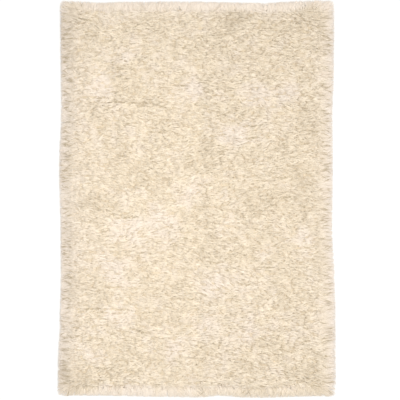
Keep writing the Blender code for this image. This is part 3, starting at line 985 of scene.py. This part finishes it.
def strand_mesh(name, lines, fields, kind, material, chance):
    """Tapered strands on their centre lines. Each is a three-sided tube with one corner up, tilted
    by chance and twisted along it, wider than it is thick, closed at the root by one face and at
    the tip by one point. Its rings are triangles in circles, sqrt(3) radii wide and 1.5 high."""
    count, share = len(lines), np.linspace(0, 1, SEGMENTS + 1)
    ahead = np.gradient(lines, axis=1)
    ahead /= np.linalg.norm(ahead, axis=2, keepdims=True)
    side = np.cross([0.0, 0.0, 1.0], ahead)
    side /= np.maximum(np.linalg.norm(side, axis=2, keepdims=True), 1e-9)
    above = np.cross(ahead, side)
    widths = kind.width * chance.uniform(0.7, 1.25, (count, 1)) * np.interp(share, *WIDTH_AT)
    tilt = math.pi / 2 + chance.normal(0, 0.30, (count, 1)) + chance.normal(0, 0.5, (count, 1)) * share
    turns = tilt[..., None] + np.arange(CORNERS) * 2 * math.pi / CORNERS
    radius_across = (widths / math.sqrt(3))[..., None, None]
    radius_up = (widths * kind.thick / 1.5)[..., None, None]
    sideways = np.cos(turns)[..., None] * side[:, :, None] * radius_across
    upwards = np.sin(turns)[..., None] * above[:, :, None] * radius_up
    rings = lines[:, :, None] + sideways + upwards
    every = np.concatenate([rings[:, :-1].reshape(count, -1, 3), lines[:, -1:]], axis=1)
    every[..., 2] = np.maximum(every[..., 2], LOWEST_POINT)
    fibre = np.concatenate([np.repeat(fields[:, :-1], CORNERS, axis=1), fields[:, -1:]], axis=1)
    ridge = np.tile(np.append(np.arange(CORNERS * SEGMENTS) % CORNERS == 0, False), count)
    points, fibre = every.reshape(-1, 3), fibre.reshape(-1, len(FIBRE)).T
    return add_mesh(name, points, strand_faces(count), material, strand_map(count), fibre, ridge)


# --- Operators ---


def finished(piece):
    """The piece rides on the rug's body, and the solid that it stands for is hidden."""
    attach(piece, "root")
    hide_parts("shag_rug")


class RUG_OT_ground_weave(bpy.types.Operator):
    """Lay the thin ground weave that the pile is knotted into"""

    bl_idname = "rug.ground_weave"
    bl_label = "Ground weave"

    def execute(self, context):
        sizes, colours = context.scene.rug_sizes, context.scene.rug_colours
        x, y = rug_grid(rows=60, columns=42, grow=-0.002)
        points, faces = closed_sheet(x, y, np.full_like(x, sizes.weave_thickness), 0.0)
        wool = ground_weave_wool("ground weave wool", colours)
        finished(add_mesh("ground_weave", points, faces, wool))
        return {"FINISHED"}


class RUG_OT_matted_pile(bpy.types.Operator):
    """Felt the lower pile into a lumpy mat that follows the solid"""

    bl_idname = "rug.matted_pile"
    bl_label = "Matted pile"

    def execute(self, context):
        sizes, colours = context.scene.rug_sizes, context.scene.rug_colours
        clearance, least, parting_share = 0.0003, 0.002, 0.8
        x, y = rug_grid(rows=120, columns=82, grow=-0.003)
        relief = drift(MAT_LUMPS, x, y) + drift(MAT_TUFTS, x, y)
        relief = relief - PARTING_DEPTH * parting_share * PARTINGS.at(x, y)
        low = sizes.weave_thickness + clearance
        top = np.maximum(HEIGHTS.at(x, y) * sizes.mat_share + relief, low + least)
        points, faces = closed_sheet(x, y, top, low)
        finished(add_mesh("matted_pile", points, faces, felted_wool("felted wool", colours)))
        return {"FINISHED"}


class RUG_OT_combed_locks(bpy.types.Operator):
    """Comb the wool locks over the pile, in four bands along the rug, and round its rim"""

    bl_idname = "rug.combed_locks"
    bl_label = "Combed locks"

    def execute(self, context):
        sizes, colours = context.scene.rug_sizes, context.scene.rug_colours
        chance = np.random.default_rng(SEED)
        wool = spun_wool("spun wool", colours)
        spacing, length = sizes.clump_spacing, sizes.lock_length
        inner = pile_clumps(spacing * UNDER_SPACING, length * UNDER_LENGTH, chance)
        outer = rim_clumps(UNDER_RIM_SPACING, UNDER_RIM_SHORTER, chance)
        under = Clumps(*(np.concatenate(pair) for pair in zip(inner, outer)))
        strands = strand_lines(under, UNDER, chance)
        finished(strand_mesh("under_locks", *strands, UNDER, wool, chance))
        strands = strand_lines(rim_clumps(1.0, 0.0, chance), RIM, chance)
        finished(strand_mesh("rim_locks", *strands, RIM, wool, chance))
        lines, fields = strand_lines(pile_clumps(spacing, length, chance), TOP, chance)
        order = np.argsort(lines[:, 0, 1])
        for band, members in enumerate(np.array_split(order, BANDS)):
            name = f"pile_locks_{band + 1}"
            finished(strand_mesh(name, lines[members], fields[members], TOP, wool, chance))
        return {"FINISHED"}


# The stage: a square floor and an even sky, a square soft lamp over the rug and the spot it is
# aimed at, and a low soft sun from the right, which gives the strands a lit side.
FLOOR_HALF = 30.0
SKY_STRENGTH = 0.72
SOFTBOX_SIZE = 1.6
SOFTBOX_WATTS = 38.0
SOFTBOX_AT = (-0.02, -0.18, 3.1)
SOFTBOX_AIM = (-0.02, -0.10, 0.0)
SUN_STRENGTH = 0.75
SUN_SPREAD = 25  # degrees
SUN_WAY = (-1.0, -0.3, -0.7)

# The camera looks straight down from far off, and sees this much of a plane at this height.
LENS = 200.0  # millimetres, as is the sensor
SENSOR = 36.0
SEEN_SPAN = 2.329
SEEN_HEIGHT = 0.033
CAMERA_OVER = (0.0215, -0.0058)
CAMERA_END = 200.0


class RUG_OT_stage(bpy.types.Operator):
    """Set the pale floor, the soft light and the camera above the rug"""

    bl_idname = "rug.stage"
    bl_label = "Floor, light and camera"

    def execute(self, context):
        scene, link = context.scene, context.scene.collection.objects.link
        corners = FLOOR_HALF * np.array([[-1, -1, 0], [1, -1, 0], [1, 1, 0], [-1, 1, 0]])
        paint = painted_floor("white floor paint", scene.rug_colours)
        floor = add_mesh("floor", corners, [np.array([[0, 1, 2, 3]])], paint)
        scene.world = bpy.data.worlds.new("studio")
        scene.world.use_nodes = True
        sky = scene.world.node_tree.nodes["Background"]
        sky.inputs["Color"].default_value = (1.0, 1.0, 1.0, 1.0)
        sky.inputs["Strength"].default_value = SKY_STRENGTH
        softbox = bpy.data.lights.new("overhead_softbox", "AREA")
        softbox.shape = "SQUARE"
        softbox.size = SOFTBOX_SIZE
        softbox.energy = SOFTBOX_WATTS
        hung = bpy.data.objects.new("overhead_softbox", softbox)
        hung.location = SOFTBOX_AT
        aim = Vector(SOFTBOX_AIM) - hung.location
        hung.rotation_euler = aim.to_track_quat("-Z", "Y").to_euler()
        hung.visible_camera = False
        link(hung)
        sun = bpy.data.lights.new("side_light", "SUN")
        sun.angle = math.radians(SUN_SPREAD)
        sun.energy = SUN_STRENGTH
        side = bpy.data.objects.new("side_light", sun)
        side.rotation_euler = Vector(SUN_WAY).to_track_quat("-Z", "Y").to_euler()
        link(side)
        lens = bpy.data.cameras.new("camera")
        lens.lens = LENS
        lens.sensor_width = SENSOR
        lens.clip_end = CAMERA_END
        camera = bpy.data.objects.new("camera", lens)
        camera.location = (*CAMERA_OVER, SEEN_HEIGHT + SEEN_SPAN / 2 * LENS / (SENSOR / 2))
        link(camera)
        scene.camera = camera
        scene.view_settings.view_transform = "Standard"
        return {"FINISHED"}


class RUG_PT_panel(bpy.types.Panel):
    """Sizes, colours and the steps of making the rug"""

    bl_label = "Shag Rug"
    bl_idname = "RUG_PT_panel"
    bl_space_type = "VIEW_3D"
    bl_region_type = "UI"
    bl_category = "Shag Rug"

    def draw(self, context):
        for group in (context.scene.rug_sizes, context.scene.rug_colours):
            box = self.layout.box()
            for name in group.__annotations__:
                box.prop(group, name)
        for step in STEPS:
            self.layout.operator(step.bl_idname)


STEPS = (RUG_OT_ground_weave, RUG_OT_matted_pile, RUG_OT_combed_locks, RUG_OT_stage)
CLASSES = (RugSizes, RugColours, *STEPS, RUG_PT_panel)


def register():
    for made in CLASSES:
        bpy.utils.register_class(made)
    bpy.types.Scene.rug_sizes = bpy.props.PointerProperty(type=RugSizes)
    bpy.types.Scene.rug_colours = bpy.props.PointerProperty(type=RugColours)


def unregister():
    del bpy.types.Scene.rug_colours
    del bpy.types.Scene.rug_sizes
    for made in reversed(CLASSES):
        bpy.utils.unregister_class(made)


def main():
    register()
    bpy.ops.rug.ground_weave()
    bpy.ops.rug.matted_pile()
    bpy.ops.rug.combed_locks()
    bpy.ops.rug.stage()


if __name__ == "__main__":
    main()
